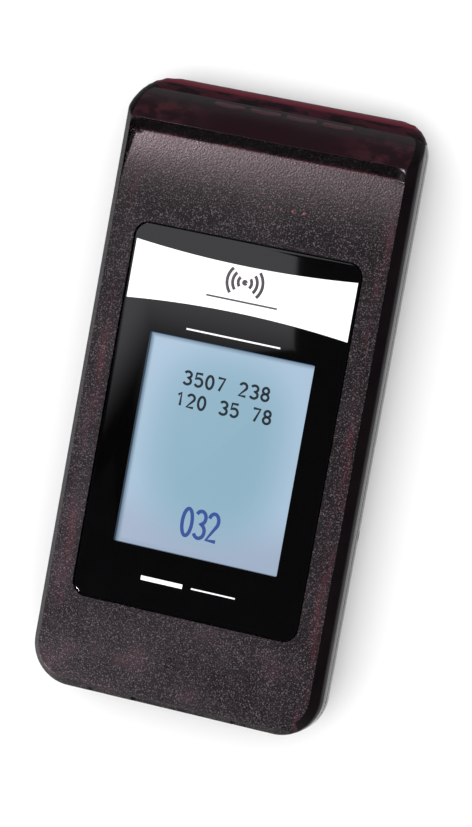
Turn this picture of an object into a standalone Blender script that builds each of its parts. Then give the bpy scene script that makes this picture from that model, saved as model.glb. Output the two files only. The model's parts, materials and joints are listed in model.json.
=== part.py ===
"""Message pager with a colour display, lying on its back.

Frame: metres, +X across the face, +Y towards the alert head, +Z out of the display.
The origin is on the back, under the middle of the body.
"""

import math

import bmesh
import bpy
from mathutils import Matrix, Vector

MM = 0.001

# Driving dimensions
WIDTH = 52.7 * MM
LENGTH = 106.5 * MM
THICKNESS = 13.5 * MM
GAP = 0.3 * MM
WALL = 1.7 * MM
PARTING_Z = 8.2 * MM
LIP_HEIGHT = 1.0 * MM
LIP_THICKNESS = 0.6 * MM
CORNER_TOP = 6.6 * MM
CORNER_BOTTOM = 7.4 * MM
FRONT_BEVEL_INSET = 1.5 * MM
FRONT_BEVEL_SLOPE = 1.22
FRONT_BEVEL_END = 0.22 * MM
FRONT_EDGE_DEPTH = 3.0 * MM
BACK_EDGE_INSET = 7.4 * MM
BACK_EDGE_HEIGHT = 8.0 * MM
CORNER_STEPS = 10
EDGE_STEPS = 6

# Alert head: a nose that falls from the ledge to the top end
LEDGE_Y = 45.8 * MM
NOSE_DROP = 10.5 * MM
NOSE_TIP_Y = 53.85 * MM
NOSE_POWER = 1.5
NOSE_STEPS = 14
SCOOP_START_Y = 30.0 * MM
SCOOP_CREASE_Y = 43.6 * MM
SCOOP_DEPTH = 1.8 * MM
SCOOP_HALF_WIDTH = 24.85 * MM
SCOOP_STEPS = 10

# Display
LENS_WIDTH = 40.9 * MM
LENS_LENGTH = 65.2 * MM
LENS_Y = -4.2 * MM
LENS_THICKNESS = 0.8 * MM
LENS_CORNER = 2.5 * MM
LENS_SINK = 0.1 * MM
WINDOW_WIDTH = 31.0 * MM
WINDOW_LENGTH = 38.0 * MM
WINDOW_Y = -8.05 * MM
GLASS_THICKNESS = 1.6 * MM

NOTCH_DEPTH = 2.4 * MM

# Inside
FRONT_CEILING_Z = 11.4 * MM
HEAD_CEILING_Z = 10.2 * MM
BACK_FLOOR_Z = 1.5 * MM
BOARD_Z = 7.6 * MM
BOARD_THICKNESS = 1.0 * MM
BOARD_HALF_WIDTH = 22.3 * MM
CASE_SCREWS = [
    (-20.0 * MM, 41.0 * MM), (20.0 * MM, 41.0 * MM), (-19.5 * MM, -44.5 * MM), (19.5 * MM, -44.5 * MM)
]
MOTOR_Y = 33.0 * MM
MOTOR_Z = 4.4 * MM
MOTOR_RADIUS = 2.1 * MM
MOTOR_START_X = -15.0 * MM
MOTOR_LENGTH = 9.0 * MM
BUTTON_Y = -17.4 * MM
BUTTON_Z = 6.25 * MM
BUTTON_RADIUS = 0.75 * MM
BUTTON_TRAVEL = 0.4 * MM
CONTACT_X = 12.0 * MM
LED_COUNT = 5
LED_PITCH = 6.5 * MM

FACE_Z = THICKNESS
TOP_Y = NOSE_TIP_Y
BOTTOM_Y = -LENGTH / 2
SIDE_X = WIDTH / 2
LIP_INSET = WALL + GAP + LIP_THICKNESS


def clear_scene():
    for obj in list(bpy.data.objects):
        bpy.data.objects.remove(obj, do_unlink=True)


def make_material(name, colour, roughness, metallic=0.0, transmission=0.0):
    """A Principled material in a sub-part's own colour and finish."""
    made = bpy.data.materials.new(name)
    made.use_nodes = True
    shader = made.node_tree.nodes["Principled BSDF"]
    shader.inputs["Base Color"].default_value = (*colour, 1.0)
    shader.inputs["Roughness"].default_value = roughness
    shader.inputs["Metallic"].default_value = metallic
    shader.inputs["Transmission Weight"].default_value = transmission
    made.diffuse_color = (*colour, 1.0)
    return made


def make_materials():
    return {
        "smoke_plastic": make_material("smoke_plastic", (0.030, 0.014, 0.018), 0.35, 0.0, 0.3),
        "back_plastic": make_material("back_plastic", (0.028, 0.016, 0.019), 0.45, 0.0, 0.2),
        "lens_black": make_material("lens_black", (0.004, 0.004, 0.005), 0.08),
        "lcd_lit": make_material("lcd_lit", (0.30, 0.48, 0.60), 0.20),
        "white_plastic": make_material("white_plastic", (0.75, 0.75, 0.73), 0.50),
        "light_guide": make_material("light_guide", (0.85, 0.88, 0.90), 0.25, 0.0, 0.5),
        "board_green": make_material("board_green", (0.02, 0.12, 0.05), 0.45),
        "chip_black": make_material("chip_black", (0.015, 0.015, 0.017), 0.55),
        "steel": make_material("steel", (0.58, 0.58, 0.60), 0.30, 1.0),
        "brass": make_material("brass", (0.75, 0.55, 0.25), 0.30, 1.0),
        "gold": make_material("gold", (0.90, 0.70, 0.30), 0.25, 1.0),
        "foil": make_material("foil", (0.60, 0.62, 0.65), 0.40, 0.6),
        "foam": make_material("foam", (0.03, 0.03, 0.03), 0.95),
        "rubber": make_material("rubber", (0.02, 0.02, 0.02), 0.80),
        "flex_amber": make_material("flex_amber", (0.55, 0.27, 0.05), 0.40),
        "led_red": make_material("led_red", (0.55, 0.02, 0.03), 0.20, 0.0, 0.4),
        "wire_red": make_material("wire_red", (0.55, 0.03, 0.03), 0.45),
        "wire_black": make_material("wire_black", (0.02, 0.02, 0.02), 0.45),
        "label_grey": make_material("label_grey", (0.45, 0.45, 0.46), 0.60),
    }


def add_object(name, builder, material, smooth_angle=35.0):
    """Turns a bmesh into a named object with its material, shaded smooth below the given angle."""
    bmesh.ops.recalc_face_normals(builder, faces=builder.faces)
    mesh = bpy.data.meshes.new(name)
    builder.to_mesh(mesh)
    builder.free()
    if material is not None:
        mesh.materials.append(material)
    mesh.shade_smooth()
    mesh.set_sharp_from_angle(angle=math.radians(smooth_angle))
    obj = bpy.data.objects.new(name, mesh)
    bpy.context.scene.collection.objects.link(obj)
    return obj


def add_modifier(obj, other, operation):
    modifier = obj.modifiers.new(operation.title() + "_" + other.name, "BOOLEAN")
    modifier.operation = operation
    modifier.solver = "EXACT"
    modifier.object = other


def cut(obj, *cutters):
    for cutter in cutters:
        add_modifier(obj, cutter, "DIFFERENCE")


def join(obj, *additions):
    for addition in additions:
        add_modifier(obj, addition, "UNION")


def helper(name, builder):
    """A hidden solid that only cuts or adds to another."""
    obj = add_object(name, builder, None)
    obj.hide_render = True
    obj.display_type = "WIRE"
    return obj


def rounded_outline(half_x, low_y, high_y, low_radius, high_radius, steps=CORNER_STEPS):
    """Points anticlockwise round a rectangle with one radius for its low corners and one for its high ones."""
    corners = [
        (half_x - low_radius, low_y + low_radius, low_radius, -90),
        (half_x - high_radius, high_y - high_radius, high_radius, 0),
        (-half_x + high_radius, high_y - high_radius, high_radius, 90),
        (-half_x + low_radius, low_y + low_radius, low_radius, 180),
    ]
    points = []
    for centre_x, centre_y, radius, start in corners:
        for step in range(steps + 1):
            angle = math.radians(start + 90 * step / steps)
            points.append((centre_x + radius * math.cos(angle), centre_y + radius * math.sin(angle)))
    return points


def stack_rings(levels):
    """A closed solid through outlines of equal length, given as (z, points) from the lowest up."""
    builder = bmesh.new()
    rings = [[builder.verts.new((x, y, z)) for x, y in points] for z, points in levels]
    count = len(rings[0])
    for lower, upper in zip(rings, rings[1:]):
        for i in range(count):
            j = (i + 1) % count
            builder.faces.new((lower[i], lower[j], upper[j], upper[i]))
    builder.faces.new(list(reversed(rings[0])))
    builder.faces.new(rings[-1])
    return builder


def body_outline(inset):
    """The body's plan outline, moved inwards by inset."""
    return rounded_outline(
        SIDE_X - inset,
        BOTTOM_Y + inset,
        TOP_Y - inset,
        max(CORNER_BOTTOM - inset, 0.5 * MM),
        max(CORNER_TOP - inset, 0.5 * MM),
    )


def plate(low_z, high_z, half_x, centre_y, length, radius, steps=CORNER_STEPS):
    """A flat plate with rounded corners in plan."""
    outline = rounded_outline(half_x, centre_y - length / 2, centre_y + length / 2, radius, radius, steps)
    return stack_rings([(low_z, outline), (high_z, outline)])


def block(low, high):
    """A box from its lowest to its highest corner."""
    builder = bmesh.new()
    size = [h - l for l, h in zip(low, high)]
    middle = [(h + l) / 2 for l, h in zip(low, high)]
    place = Matrix.Translation(middle) @ Matrix.Diagonal((*size, 1.0))
    bmesh.ops.create_cube(builder, size=1.0, matrix=place)
    return builder


def soft_block(low, high, bevel, segments=2):
    """A box with all its edges rounded."""
    builder = block(low, high)
    bmesh.ops.bevel(
        builder, geom=builder.edges[:], offset=bevel, segments=segments, profile=0.5, affect="EDGES"
    )
    return builder


def rod(radius, length, middle, axis, segments=24):
    """A cylinder about the named axis, centred on middle."""
    turns = {
        "X": Matrix.Rotation(math.radians(90), 4, "Y"),
        "Y": Matrix.Rotation(math.radians(-90), 4, "X"),
        "Z": Matrix.Identity(4),
    }
    builder = bmesh.new()
    bmesh.ops.create_cone(
        builder, cap_ends=True, segments=segments, radius1=radius, radius2=radius, depth=length,
        matrix=Matrix.Translation(middle) @ turns[axis],
    )
    return builder


def profile_along_x(points, half_x):
    """A prism along X whose section is the closed outline of (y, z) points."""
    builder = bmesh.new()
    sides = [[builder.verts.new((x, y, z)) for y, z in points] for x in (-half_x, half_x)]
    count = len(points)
    for i in range(count):
        j = (i + 1) % count
        builder.faces.new((sides[0][i], sides[0][j], sides[1][j], sides[1][i]))
    builder.faces.new(list(reversed(sides[0])))
    builder.faces.new(sides[1])
    return builder


def nose_y(depth):
    """How far towards the head the nose reaches at a depth below the face."""
    part = 1 - min(depth / NOSE_DROP, 1.0)
    return NOSE_TIP_Y - (NOSE_TIP_Y - LEDGE_Y) * part**NOSE_POWER


def nose_cutter(name, inwards=0.0):
    """Everything beyond the nose surface, or beyond that surface moved inwards."""
    depths = [NOSE_DROP * (1 - (step / NOSE_STEPS)) for step in range(NOSE_STEPS + 1)]
    curve = [(nose_y(depth) - inwards * 1.25, FACE_Z - depth - inwards * 0.4) for depth in depths]
    slope = (curve[-1][0] - curve[-2][0]) / (curve[-1][1] - curve[-2][1])
    rise = 3 * MM
    curve.append((curve[-1][0] + slope * rise, curve[-1][1] + rise))
    outside = [(TOP_Y + 3 * MM, curve[-1][1]), (TOP_Y + 3 * MM, curve[0][1] - 0.2 * MM)]
    start = (curve[0][0] + 0.02 * MM, curve[0][1] - 0.2 * MM)
    return helper(name, profile_along_x([start, *curve, *outside], SIDE_X + 3 * MM))


def scoop_cutter():
    """The finger scoop below the ledge: a floor that dips towards the head, then a wall up to the ledge."""
    length = SCOOP_CREASE_Y - SCOOP_START_Y
    over = 2 * MM
    wall_run = LEDGE_Y - SCOOP_CREASE_Y
    points = []
    for step in range(SCOOP_STEPS + 1):
        part = step / SCOOP_STEPS
        points.append((SCOOP_START_Y + length * part, FACE_Z - SCOOP_DEPTH * part * part))
    wall_slope = wall_run / SCOOP_DEPTH
    points.append((SCOOP_CREASE_Y + wall_slope * (SCOOP_DEPTH + over), FACE_Z + over))
    points.append((SCOOP_START_Y, FACE_Z + over))
    return helper("scoop_cutter", profile_along_x(points, SCOOP_HALF_WIDTH))


def front_levels():
    """The front shell's outer rings: upright sides, a blend, then a straight bevel up to the face."""
    levels = [(PARTING_Z + GAP / 2, body_outline(0)), (FACE_Z - FRONT_EDGE_DEPTH, body_outline(0))]
    bevel_depth = (FRONT_BEVEL_INSET - FRONT_BEVEL_END) * FRONT_BEVEL_SLOPE
    for step in range(1, EDGE_STEPS + 1):
        angle = math.radians(90 * step / EDGE_STEPS)
        inset = FRONT_BEVEL_END * (1 - math.cos(angle))
        depth = FRONT_EDGE_DEPTH - (FRONT_EDGE_DEPTH - bevel_depth) * math.sin(angle)
        levels.append((FACE_Z - depth, body_outline(inset)))
    levels.append((FACE_Z, body_outline(FRONT_BEVEL_INSET)))
    return levels


def back_levels():
    """The rear shell's outer rings, from the flat back up round its soft edge to the parting line."""
    levels = []
    for step in range(EDGE_STEPS + 1):
        angle = math.radians(90 * step / EDGE_STEPS)
        inset = BACK_EDGE_INSET * (1 - math.sin(angle))
        levels.append((BACK_EDGE_HEIGHT * (1 - math.cos(angle)), body_outline(inset)))
    levels.append((PARTING_Z - GAP / 2, body_outline(0)))
    return levels


def front_cavity():
    """The space inside the front shell, which keeps its wall under the scoop and the nose."""
    levels = [(PARTING_Z - MM, body_outline(WALL)), (FRONT_CEILING_Z - 0.8 * MM, body_outline(WALL))]
    levels.append((FRONT_CEILING_Z, body_outline(WALL + 0.8 * MM)))
    cavity = helper("front_cavity", stack_rings(levels))
    low = (-SIDE_X, SCOOP_START_Y + 4 * MM, HEAD_CEILING_Z)
    under_scoop = helper("under_scoop", block(low, (SIDE_X, TOP_Y, FACE_Z)))
    cut(cavity, under_scoop, nose_cutter("nose_inside_front", WALL))
    return cavity


def back_cavity():
    levels = [
        (BACK_FLOOR_Z, body_outline(WALL + 3.4 * MM)),
        (BACK_FLOOR_Z + 1.2 * MM, body_outline(WALL + 1.9 * MM)),
        (BACK_FLOOR_Z + 3.0 * MM, body_outline(WALL + 0.8 * MM)),
        (PARTING_Z - 1.25 * MM, body_outline(WALL)),
        (PARTING_Z - 0.65 * MM, body_outline(LIP_INSET)),
    ]
    cavity = helper("back_cavity", stack_rings(levels))
    cut(cavity, nose_cutter("nose_inside_back", WALL))
    return cavity


def back_lip():
    """The raised lip that stands inside the front shell's wall and closes the parting line, and its hollow."""
    outer = body_outline(WALL + GAP)
    levels = [(PARTING_Z - 0.45 * MM, outer), (PARTING_Z + LIP_HEIGHT, outer)]
    lip = helper("back_lip", stack_rings(levels))
    cut(lip, nose_cutter("nose_outside_lip", WALL + GAP))
    inner = body_outline(LIP_INSET)
    levels = [(PARTING_Z - 0.75 * MM, inner), (PARTING_Z + 2 * MM, inner)]
    hollow = helper("lip_hollow", stack_rings(levels))
    cut(hollow, nose_cutter("nose_inside_lip", LIP_INSET))
    return lip, hollow


def bottom_notches():
    """Three shallow notches in the front bottom edge, which key the pager into its charging rack."""
    cutters = []
    for index, (left, right) in enumerate(((-14.7, -11.7), (-6.9, 6.6), (11.4, 14.3))):
        low = (left * MM, BOTTOM_Y - MM, FACE_Z - NOTCH_DEPTH)
        high = (right * MM, BOTTOM_Y + 0.9 * MM, FACE_Z + MM)
        cutters.append(helper(f"notch_cutter_{index + 1}", block(low, high)))
    return cutters


def make_front_shell(materials):
    shell = add_object("front_shell", stack_rings(front_levels()), materials["smoke_plastic"])
    recess = helper(
        "lens_recess",
        plate(FACE_Z - LENS_SINK - LENS_THICKNESS - GAP, FACE_Z + MM, LENS_WIDTH / 2 + GAP, LENS_Y,
              LENS_LENGTH + 2 * GAP, LENS_CORNER + GAP),
    )
    window = helper(
        "window_cutter", plate(PARTING_Z, FACE_Z + MM, WINDOW_WIDTH / 2, WINDOW_Y, WINDOW_LENGTH, 1.0 * MM, 3)
    )
    cut(shell, front_cavity(), nose_cutter("nose_outside_front"), scoop_cutter(), recess, window)
    cut(shell, *bottom_notches())
    for index, (x, y) in enumerate(CASE_SCREWS):
        low_z = PARTING_Z + GAP / 2
        high_z = HEAD_CEILING_Z + 0.6 * MM if y > 0 else FRONT_CEILING_Z + 0.6 * MM
        middle = (x, y, (low_z + high_z) / 2)
        boss = helper(f"front_boss_{index + 1}", rod(2.4 * MM, high_z - low_z, middle, "Z", 20))
        join(shell, boss)
        pilot = rod(0.8 * MM, high_z - low_z, (x, y, middle[2] - 0.9 * MM), "Z", 12)
        cut(shell, helper(f"front_pilot_{index + 1}", pilot))
    return shell


def make_rear_shell(materials):
    shell = add_object("rear_shell", stack_rings(back_levels()), materials["back_plastic"])
    cut(shell, nose_cutter("nose_outside_back"))
    lip, hollow = back_lip()
    join(shell, lip)
    cut(shell, back_cavity(), hollow)
    for index, (x, y) in enumerate(CASE_SCREWS):
        low_z, high_z = BACK_FLOOR_Z - 0.5 * MM, PARTING_Z - GAP / 2
        middle_z = (low_z + high_z) / 2
        boss = helper(f"rear_boss_{index + 1}", rod(2.4 * MM, high_z - low_z, (x, y, middle_z), "Z", 20))
        join(shell, boss)
        shank = helper(f"shank_hole_{index + 1}", rod(1.1 * MM, 20 * MM, (x, y, middle_z), "Z", 12))
        head = helper(f"head_hole_{index + 1}", rod(1.9 * MM, 5 * MM, (x, y, 0), "Z", 20))
        cut(shell, shank, head)
    label = helper("label_recess", plate(-MM, 0.5 * MM, 15.5 * MM, -6 * MM, 46 * MM, 2 * MM, 4))
    button = helper(
        "button_hole", rod(BUTTON_RADIUS + GAP, 6 * MM, (SIDE_X, BUTTON_Y, BUTTON_Z), "X", 16)
    )
    cut(shell, label, button)
    for side, name in ((-1, "left"), (1, "right")):
        low = (side * CONTACT_X - 1.5 * MM, BOTTOM_Y - MM, 3.9 * MM)
        high = (side * CONTACT_X + 1.5 * MM, BOTTOM_Y + 4 * MM, 6.9 * MM)
        cut(shell, helper(f"contact_slot_{name}", block(low, high)))
    return shell


def make_display(materials):
    top = FACE_Z - LENS_SINK
    bottom = top - LENS_THICKNESS
    add_object(
        "display_lens",
        plate(bottom, top, LENS_WIDTH / 2, LENS_Y, LENS_LENGTH, LENS_CORNER),
        materials["lens_black"],
    )
    glass_top = bottom - GAP
    glass_bottom = glass_top - GLASS_THICKNESS
    half_glass = WINDOW_WIDTH / 2 - GAP
    add_object(
        "lcd_glass",
        plate(glass_bottom, glass_top, half_glass, WINDOW_Y, WINDOW_LENGTH - 2 * GAP, 0.6 * MM, 2),
        materials["lcd_lit"],
    )
    guide_top = glass_bottom - GAP
    guide_bottom = guide_top - 0.6 * MM
    add_object(
        "backlight_guide",
        plate(guide_bottom, guide_top, half_glass - 0.4 * MM, WINDOW_Y, WINDOW_LENGTH - 2 * MM, 0.6 * MM, 2),
        materials["light_guide"],
    )
    frame_bottom = BOARD_Z + BOARD_THICKNESS + GAP
    frame = add_object(
        "lcd_frame",
        plate(frame_bottom, FRONT_CEILING_Z - GAP, 17.2 * MM, WINDOW_Y - 1.5 * MM, 44 * MM, 1.0 * MM, 3),
        materials["white_plastic"],
    )
    hollow = helper(
        "frame_hollow",
        plate(frame_bottom + 0.4 * MM, FACE_Z, half_glass + GAP, WINDOW_Y, WINDOW_LENGTH, 0.8 * MM, 2),
    )
    cut(frame, hollow)
    add_object(
        "lcd_flex_cable",
        soft_block(
            (-5 * MM, WINDOW_Y - 27.5 * MM, frame_bottom),
            (5 * MM, WINDOW_Y - 23.8 * MM, frame_bottom + 0.4 * MM),
            0.1 * MM, 1,
        ),
        materials["flex_amber"],
    )


def make_main_board(materials):
    low_y, high_y = -49.5 * MM, 44.0 * MM
    board = add_object(
        "main_board",
        stack_rings([
            (z, rounded_outline(BOARD_HALF_WIDTH, low_y, high_y, 3 * MM, 2 * MM, 4))
            for z in (BOARD_Z, BOARD_Z + BOARD_THICKNESS)
        ]),
        materials["board_green"],
    )
    for index, (x, y) in enumerate(CASE_SCREWS):
        room = rod(2.4 * MM + GAP, 4 * MM, (x, y, BOARD_Z), "Z", 20)
        cut(board, helper(f"board_hole_{index + 1}", room))
    under = BOARD_Z - GAP
    parts = [
        ("processor_chip", (-1, 19, 1.0), (8, 8), "chip_black"),
        ("memory_chip", (-11, 22, 1.0), (5, 4), "chip_black"),
        ("rf_shield_can", (12.5, 22.5, 2.0), (13, 10), "steel"),
        ("crystal_can", (-1, 27.2, 1.6), (5, 3), "steel"),
        ("lcd_connector", (0, -38, 1.4), (13, 3), "chip_black"),
        ("battery_connector", (-14, -36, 2.4), (6, 4.5), "white_plastic"),
    ]
    for name, (x, y, height), (size_x, size_y), slot in parts:
        low = ((x - size_x / 2) * MM, (y - size_y / 2) * MM, under - height * MM)
        high = ((x + size_x / 2) * MM, (y + size_y / 2) * MM, under)
        add_object(name, soft_block(low, high, 0.2 * MM, 1), materials[slot])


def make_antenna(materials):
    """A flat metal loop that stands along the board's left side, with its two feet turned inwards."""
    outer, inner = -23.6 * MM, -23.1 * MM
    ends, foot = (-24 * MM, 26 * MM), 2.2 * MM
    points = [
        (inner + foot, ends[0]), (outer, ends[0]), (outer, ends[1]), (inner + foot, ends[1]),
        (inner + foot, ends[1] - 0.5 * MM), (inner, ends[1] - 0.5 * MM),
        (inner, ends[0] + 0.5 * MM), (inner + foot, ends[0] + 0.5 * MM),
    ]
    levels = [(5.0 * MM, points), (BOARD_Z - GAP, points)]
    add_object("loop_antenna", stack_rings(levels), materials["brass"])


def make_power(materials):
    add_object(
        "battery_cell",
        soft_block((-16 * MM, -31 * MM, 1.9 * MM), (16 * MM, 13 * MM, 5.7 * MM), 0.8 * MM),
        materials["foil"],
    )
    add_object(
        "battery_foam",
        soft_block((-13 * MM, -27 * MM, 6.0 * MM), (13 * MM, 9 * MM, 7.2 * MM), 0.2 * MM, 1),
        materials["foam"],
    )
    for side, name in ((-1, "left"), (1, "right")):
        x = side * CONTACT_X
        pad = add_object(
            f"charge_contact_{name}",
            soft_block(
                (x - 1.2 * MM, BOTTOM_Y + 0.95 * MM, 4.2 * MM),
                (x + 1.2 * MM, BOTTOM_Y + 1.55 * MM, 6.6 * MM),
                0.15 * MM, 1,
            ),
            materials["gold"],
        )
        spring = helper(
            f"contact_spring_{name}",
            block(
                (x - 0.8 * MM, BOTTOM_Y + 1.2 * MM, 6.0 * MM), (x + 0.8 * MM, BOTTOM_Y + 6.2 * MM, 6.4 * MM)
            ),
        )
        tail = helper(
            f"contact_tail_{name}",
            block(
                (x - 0.8 * MM, BOTTOM_Y + 5.6 * MM, 6.2 * MM),
                (x + 0.8 * MM, BOTTOM_Y + 6.2 * MM, BOARD_Z - GAP),
            ),
        )
        join(pad, spring, tail)


def make_motor(materials):
    """Coreless vibration motor along X: can, shaft, off-centre weight and the rubber boot that holds it."""
    can_end = MOTOR_START_X + MOTOR_LENGTH
    axis_y, axis_z = MOTOR_Y, MOTOR_Z
    can = add_object(
        "motor_can",
        rod(MOTOR_RADIUS, MOTOR_LENGTH, ((MOTOR_START_X + can_end) / 2, axis_y, axis_z), "X", 24),
        materials["steel"],
    )
    bore = rod(0.35 * MM + GAP, 4 * MM, (can_end, axis_y, axis_z), "X", 12)
    cut(can, helper("motor_bore", bore))
    shaft_start, shaft_end = can_end - 1.5 * MM, can_end + 4.6 * MM
    shaft = rod(0.35 * MM, shaft_end - shaft_start, ((shaft_start + shaft_end) / 2, axis_y, axis_z), "X", 12)
    place_on_motor_axis(add_object("motor_shaft", shaft, materials["steel"]), can_end)

    weight_start, weight_end = can_end + 0.8 * MM, can_end + 4.2 * MM
    middle_x = (weight_start + weight_end) / 2
    weight = add_object(
        "motor_weight", rod(2.2 * MM, weight_end - weight_start, (middle_x, axis_y, axis_z), "X", 24),
        materials["brass"],
    )
    place_on_motor_axis(weight, can_end)
    upper_half = block(
        (weight_start - MM, axis_y - 3 * MM, axis_z + 0.9 * MM),
        (weight_end + MM, axis_y + 3 * MM, axis_z + 4 * MM),
    )
    bore = rod(0.35 * MM + GAP, 8 * MM, (middle_x, axis_y, axis_z), "X", 12)
    cut(weight, helper("weight_flat", upper_half), helper("weight_bore", bore))

    boot = add_object(
        "motor_boot",
        soft_block(
            (MOTOR_START_X + 1.5 * MM, axis_y - 2.9 * MM, 1.8 * MM),
            (can_end - 1.5 * MM, axis_y + 2.9 * MM, BOARD_Z - GAP),
            0.4 * MM,
        ),
        materials["rubber"],
    )
    sleeve = rod(MOTOR_RADIUS + GAP, 20 * MM, (MOTOR_START_X, axis_y, axis_z), "X", 24)
    cut(boot, helper("boot_bore", sleeve))


def place_on_motor_axis(obj, x):
    """Moves an object's origin onto the motor's axis without moving its shape."""
    origin = Vector((x, MOTOR_Y, MOTOR_Z))
    obj.data.transform(Matrix.Translation(-origin))
    obj.location = origin


def make_buzzer(materials):
    drum = rod(5.0 * MM, 2.4 * MM, (10 * MM, 35.5 * MM, 6.0 * MM), "Z", 32)
    add_object("sounder", drum, materials["chip_black"])


def make_alert_lights(materials):
    """The light board that stands in the head, its row of lamps and the bar that spreads their light."""
    add_object(
        "led_board",
        soft_block((-18 * MM, 44.4 * MM, 3.4 * MM), (18 * MM, 45.2 * MM, 9.8 * MM), 0.1 * MM, 1),
        materials["board_green"],
    )
    for index in range(LED_COUNT):
        x = (index - (LED_COUNT - 1) / 2) * LED_PITCH
        low = (x - 1.6 * MM, 45.5 * MM, 5.0 * MM)
        high = (x + 1.6 * MM, 46.8 * MM, 7.0 * MM)
        add_object(f"alert_led_{index + 1}", soft_block(low, high, 0.25 * MM, 1), materials["led_red"])
    add_object(
        "light_bar",
        soft_block((-17 * MM, 47.1 * MM, 4.4 * MM), (17 * MM, 48.1 * MM, 7.4 * MM), 0.35 * MM),
        materials["light_guide"],
    )


def make_side_button(materials):
    """A small button set in the right wall, and the switch on the board that it presses."""
    outer_x = SIDE_X - 0.35 * MM
    inner_x = SIDE_X - 3.1 * MM
    middle = ((outer_x + inner_x) / 2, BUTTON_Y, BUTTON_Z)
    stem = rod(BUTTON_RADIUS, outer_x - inner_x, middle, "X", 16)
    button = add_object("side_button", stem, materials["rubber"])
    flange = rod(BUTTON_RADIUS + 0.45 * MM, 0.5 * MM, (inner_x + 0.25 * MM, BUTTON_Y, BUTTON_Z), "X", 16)
    join(button, helper("button_flange", flange))
    switch_x = inner_x - BUTTON_TRAVEL - 0.1 * MM
    low = (switch_x - 2.2 * MM, BUTTON_Y - 1.8 * MM, BOARD_Z - GAP - 1.6 * MM)
    high = (switch_x, BUTTON_Y + 1.8 * MM, BOARD_Z - GAP)
    add_object("button_switch", soft_block(low, high, 0.15 * MM, 1), materials["chip_black"])


def make_leads(materials):
    """Two short wires from the cell's tabs to its connector."""
    routes = {
        "battery_lead_red": ("wire_red", 0.0),
        "battery_lead_black": ("wire_black", 3.0 * MM),
    }
    for name, (slot, shift) in routes.items():
        points = [
            Vector((-6.0 * MM + shift, -31.9 * MM, 3.4 * MM)),
            Vector((-6.2 * MM + shift, -33.4 * MM, 3.5 * MM)),
            Vector((-7.4 * MM + shift, -35.0 * MM + shift / 2, 4.2 * MM)),
            Vector((-9.4 * MM + shift / 2, -35.2 * MM + shift / 2, 5.2 * MM)),
            Vector((-10.6 * MM, -35.2 * MM + shift / 2, 6.0 * MM)),
        ]
        curve = bpy.data.curves.new(name, "CURVE")
        curve.dimensions = "3D"
        curve.bevel_depth = 0.45 * MM
        curve.bevel_resolution = 2
        curve.use_fill_caps = True
        spline = curve.splines.new("POLY")
        spline.points.add(len(points) - 1)
        for slot_point, point in zip(spline.points, points):
            slot_point.co = (*point, 1.0)
        curve.materials.append(materials[slot])
        bpy.context.scene.collection.objects.link(bpy.data.objects.new(name, curve))


def make_fasteners(materials):
    for index, (x, y) in enumerate(CASE_SCREWS):
        head_low, head_high = 1.1 * MM, 2.2 * MM
        middle = (x, y, (head_low + head_high) / 2)
        screw = add_object(f"case_screw_{index + 1}", rod(1.6 * MM, head_high - head_low, middle, "Z", 20),
                           materials["steel"])
        tip = FRONT_CEILING_Z - 2.6 * MM if y < 0 else HEAD_CEILING_Z - 1.4 * MM
        shank = rod(0.5 * MM, tip - head_low - 0.5 * MM, (x, y, (tip + head_low + 0.5 * MM) / 2), "Z", 10)
        join(screw, helper(f"screw_shank_{index + 1}", shank))
        slots = []
        for number, (wide, deep) in enumerate(((0.9, 0.22), (0.22, 0.9))):
            low = (x - wide * MM, y - deep * MM, 0.0)
            high = (x + wide * MM, y + deep * MM, head_low + 0.6 * MM)
            slots.append(helper(f"screw_slot_{index + 1}_{number + 1}", block(low, high)))
        cut(screw, *slots)


def make_back_label(materials):
    film = plate(0.05 * MM, 0.2 * MM, 15.0 * MM, -6 * MM, 45 * MM, 1.7 * MM, 4)
    add_object("back_label", film, materials["label_grey"])


def main():
    clear_scene()
    materials = make_materials()
    make_front_shell(materials)
    make_rear_shell(materials)
    make_display(materials)
    make_main_board(materials)
    make_antenna(materials)
    make_power(materials)
    make_leads(materials)
    make_motor(materials)
    make_buzzer(materials)
    make_alert_lights(materials)
    make_side_button(materials)
    make_fasteners(materials)
    make_back_label(materials)


main()
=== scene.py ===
"""Looks for the message pager: it lies on its back on a pale floor, seen from above its lower right side."""

import json
import math

import bmesh
import bpy
import numpy as np
from mathutils import Matrix, Vector


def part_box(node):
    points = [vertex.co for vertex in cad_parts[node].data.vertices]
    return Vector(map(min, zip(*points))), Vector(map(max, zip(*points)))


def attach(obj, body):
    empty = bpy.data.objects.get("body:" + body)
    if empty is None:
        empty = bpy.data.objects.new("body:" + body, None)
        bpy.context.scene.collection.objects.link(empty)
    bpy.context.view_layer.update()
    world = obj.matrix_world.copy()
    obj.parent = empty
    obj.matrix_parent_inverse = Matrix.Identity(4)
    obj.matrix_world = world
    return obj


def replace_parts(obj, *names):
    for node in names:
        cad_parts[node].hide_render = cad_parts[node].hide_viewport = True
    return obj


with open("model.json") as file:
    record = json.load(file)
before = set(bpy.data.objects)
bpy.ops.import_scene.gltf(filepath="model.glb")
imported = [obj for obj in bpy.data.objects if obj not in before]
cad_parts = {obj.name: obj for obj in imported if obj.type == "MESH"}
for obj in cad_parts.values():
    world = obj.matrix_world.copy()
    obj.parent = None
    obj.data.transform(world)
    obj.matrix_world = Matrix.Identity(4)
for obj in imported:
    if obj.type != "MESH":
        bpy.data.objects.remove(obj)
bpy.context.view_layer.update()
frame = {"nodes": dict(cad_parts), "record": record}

MM = 0.001
BODY = "case"
SMOOTH_ANGLE = math.radians(30)

# Material slots of the front case. SPARK_BEVEL is the bevel along the left side and the bottom.
SPARK, GLOSS, NOSE, BEVEL, SPARK_BEVEL = range(5)

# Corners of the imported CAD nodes, in metres
front_low, front_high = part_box("front_shell")
rear_low, rear_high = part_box("rear_shell")
lens_low, lens_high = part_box("display_lens")
glass_low, glass_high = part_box("lcd_glass")

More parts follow.
